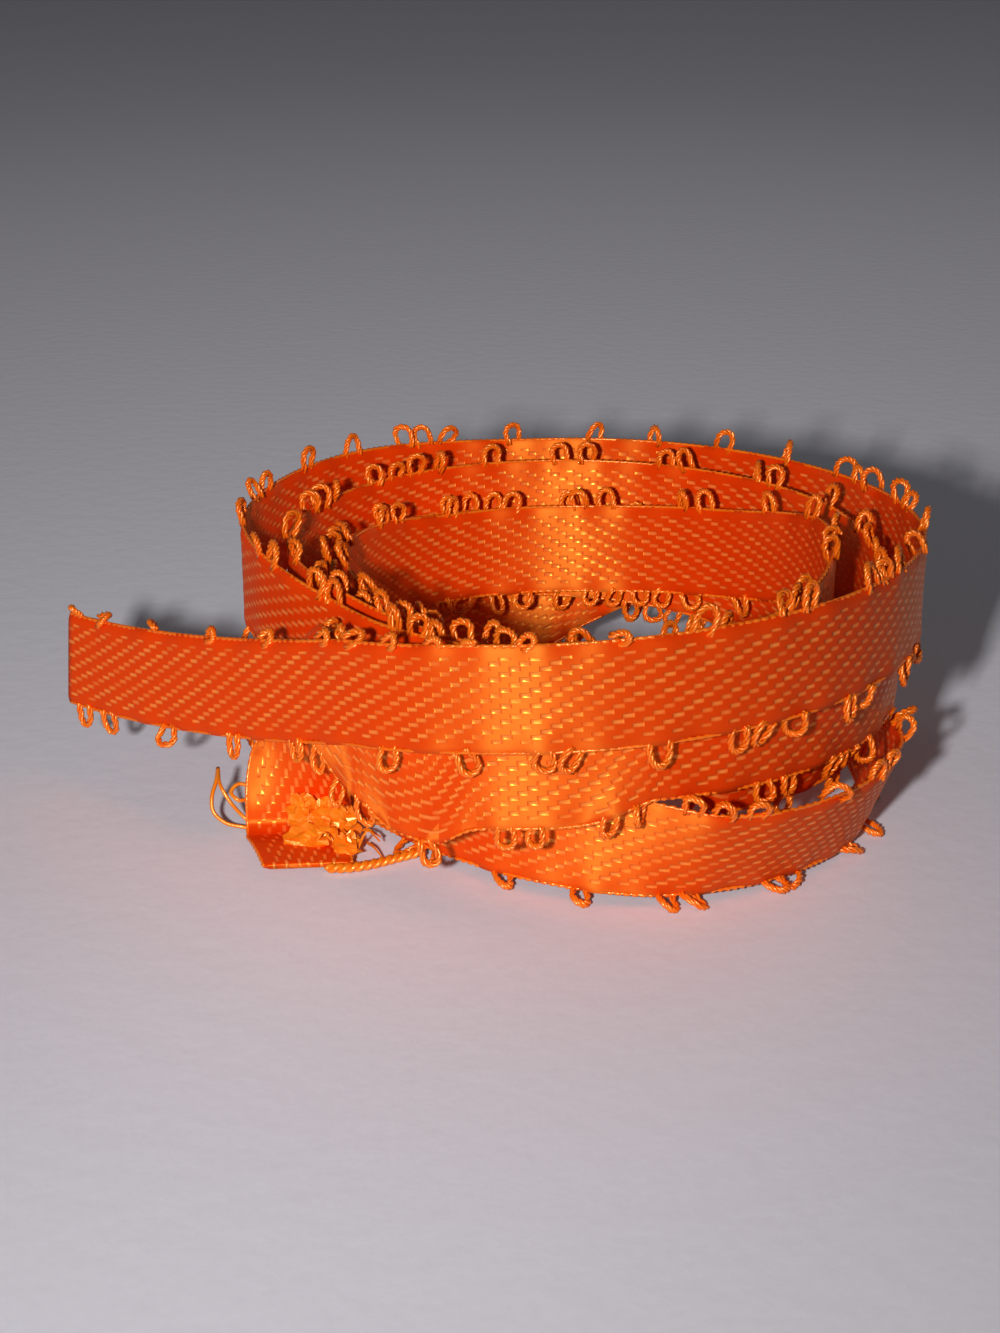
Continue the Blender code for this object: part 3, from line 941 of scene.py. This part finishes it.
def satin_material():
    """Orange satin: staggered rows of raised floats on smooth cloth, with plain bands at the edges; the
    floats are coloured paler, partly as a weave pattern and partly as a painted highlight.
    """
    nodes = Nodes("satin_weave")
    across, along, aside, ahead, chance = weave_place(nodes)
    arch = nodes.math("POWER", nodes.within(ahead), FLOAT_ROUNDNESS)
    ridge = nodes.math("POWER", nodes.within(aside), FLOAT_ROUNDNESS)
    edge = nodes.math("ABSOLUTE", nodes.math("SUBTRACT", across, RIBBON_WIDTH / 2))
    inner = nodes.math("LESS_THAN", edge, RIBBON_WIDTH / 2 - PLAIN_BAND)
    vary = nodes.math("ADD", nodes.math("MULTIPLY", chance, FLOAT_VARIETY), 1 - FLOAT_VARIETY)
    raised = nodes.math("MULTIPLY", nodes.math("MULTIPLY", arch, ridge), inner)
    glint = nodes.math("MULTIPLY", raised, vary)
    slide = nodes.math("MULTIPLY", nodes.math("MULTIPLY", ahead, raised), FLOAT_TILT)
    height = nodes.math("SUBTRACT", glint, slide)
    height = nodes.math("ADD", height, nodes.math("MULTIPLY", along, CLOTH_TILT))
    smoothing = nodes.math("MULTIPLY", glint, FLOAT_SMOOTHNESS)
    # The floats' paler colour is partly a weave pattern and partly a painted highlight that stands in for
    # their glints
    nodes.set(Base_Color=nodes.mix_colour(glint, SATIN_GROUND, SATIN_FLOAT_PAINTED_GLINT))
    nodes.set(Roughness=nodes.math("SUBTRACT", SATIN_ROUGHNESS, smoothing))
    nodes.set(Metallic=SATIN_METALLIC, IOR=SATIN_IOR, Anisotropic=SATIN_ANISOTROPY)
    nodes.set(Specular_IOR_Level=1.0, Specular_Tint=SATIN_TINT)
    tangent = nodes.tree.nodes.new("ShaderNodeTangent")
    tangent.direction_type = "UV_MAP"
    tangent.uv_map = "weave"
    nodes.set(Tangent=tangent.outputs[0])
    nodes.bump(height, 1.0, FLOAT_RISE * MM)
    return nodes.material


def thread_material(name, colours, roughness):
    """Shiny golden-orange thread whose colour drifts along it."""
    nodes = Nodes(name)
    place = nodes.tree.nodes.new("ShaderNodeTexCoord").outputs["Object"]
    drift = nodes.noise(place, THREAD_DRIFT_SCALE)
    nodes.set(Base_Color=nodes.mix_colour(drift, *colours), Roughness=roughness)
    nodes.set(Metallic=THREAD_METALLIC, IOR=THREAD_IOR)
    nodes.set(Specular_IOR_Level=THREAD_SPECULAR, Specular_Tint=THREAD_TINT)
    fibres = nodes.noise(place, THREAD_FIBRE_SCALE)
    nodes.bump(fibres, THREAD_FIBRE_STRENGTH, THREAD_FIBRE_RISE * MM)
    return nodes.material


def floor_material():
    """Pale lilac-grey paper."""
    nodes = Nodes("pale_floor")
    place = nodes.tree.nodes.new("ShaderNodeTexCoord").outputs["Object"]
    grain = nodes.noise(place, FLOOR_GRAIN_SCALE, 3.0)
    relief = nodes.noise(place, FLOOR_RELIEF_SCALE, 4.0)
    nodes.set(Base_Color=nodes.mix_colour(grain, *FLOOR_COLOURS))
    nodes.set(Roughness=FLOOR_ROUGHNESS, Specular_IOR_Level=FLOOR_SPECULAR)
    nodes.bump(relief, FLOOR_RELIEF_STRENGTH, FLOOR_RELIEF_RISE * MM)
    return nodes.material


def build_floor():
    """Lay the plain floor, which isn't part of the object."""
    corners = [(x * FLOOR_REACH, y * FLOOR_REACH, 0) for x, y in ((-1, -1), (1, -1), (1, 1), (-1, 1))]
    floor = make_object("floor", corners, [(0, 1, 2, 3)], floor_material(), smooth=False)


def place_camera():
    """Set the camera at the photo's angle."""
    data = bpy.data.cameras.new("camera")
    data.sensor_fit = "VERTICAL"
    data.sensor_height = SENSOR_MM
    data.lens = SENSOR_MM * FOCAL_PIXELS / PHOTO_HEIGHT
    data.clip_start = NEAREST_SEEN * MM
    data.dof.use_dof = False
    camera = bpy.data.objects.new("camera", data)
    camera.location = (CAMERA_PLACE + COIL_CENTRE) * MM
    camera.rotation_euler = (radians(90 - CAMERA_PITCH_DEG), 0.0, 0.0)
    bpy.context.scene.collection.objects.link(camera)
    bpy.context.scene.camera = camera


def add_light(name, place, target, size, power, spread_deg):
    """Add one square soft light that doesn't fade with distance, in millimetres about the coil's axis."""
    data = bpy.data.lights.new(name, "AREA")
    data.size = size * MM
    data.energy = power
    data.spread = radians(spread_deg)
    data.use_nodes = True
    falloff = data.node_tree.nodes.new("ShaderNodeLightFalloff")
    falloff.inputs["Strength"].default_value = 1.0
    emission = data.node_tree.nodes["Emission"]
    data.node_tree.links.new(falloff.outputs["Constant"], emission.inputs["Strength"])
    light = bpy.data.objects.new(name, data)
    light.location = (np.array(place) + COIL_CENTRE) * MM
    light.visible_camera = False
    way = np.array(target, float) - np.array(place, float)
    flat = sqrt(way[0] ** 2 + way[1] ** 2)
    light.rotation_euler = (np.arctan2(flat, -way[2]), 0.0, np.arctan2(-way[0], way[1]))
    bpy.context.scene.collection.objects.link(light)


def light_scene():
    """Light from just left of the camera and weakly from behind, and keep the colours as they are."""
    for row in LIGHTS:
        add_light(*row)
    world = bpy.data.worlds.new("surround")
    world.use_nodes = True
    background = world.node_tree.nodes["Background"]
    background.inputs["Color"].default_value = SURROUND_COLOUR
    background.inputs["Strength"].default_value = SURROUND_STRENGTH
    bpy.context.scene.world = world
    bpy.context.scene.view_settings.view_transform = "Standard"


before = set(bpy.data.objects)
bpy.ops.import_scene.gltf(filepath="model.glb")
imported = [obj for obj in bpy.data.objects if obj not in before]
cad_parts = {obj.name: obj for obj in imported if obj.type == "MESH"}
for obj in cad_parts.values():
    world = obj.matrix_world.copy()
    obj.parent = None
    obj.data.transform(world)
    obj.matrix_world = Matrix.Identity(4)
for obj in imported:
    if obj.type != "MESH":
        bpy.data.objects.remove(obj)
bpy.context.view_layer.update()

lines = ribbon_lines()
satin = satin_material()
thread = thread_material("loop_thread", LOOP_COLOURS, LOOP_ROUGHNESS)
fray = thread_material("frayed_thread", FRAY_COLOURS, FRAY_ROUGHNESS)

cloth = build_cloth(lines, satin)
upper_loops, lower_loops = build_loops(lines, thread)
edge_threads = build_edge_threads(lines, thread)
tail_fray = build_fray(lines, fray)
tail_cord = build_tail_cord(fray)
stray_threads = build_stray_threads(fray)

trim = [upper_loops, lower_loops, edge_threads, tail_fray, tail_cord, stray_threads]
for piece in [cloth] + trim:
    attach(piece, "root")
    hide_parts("ribbon")

build_floor()
place_camera()
light_scene()
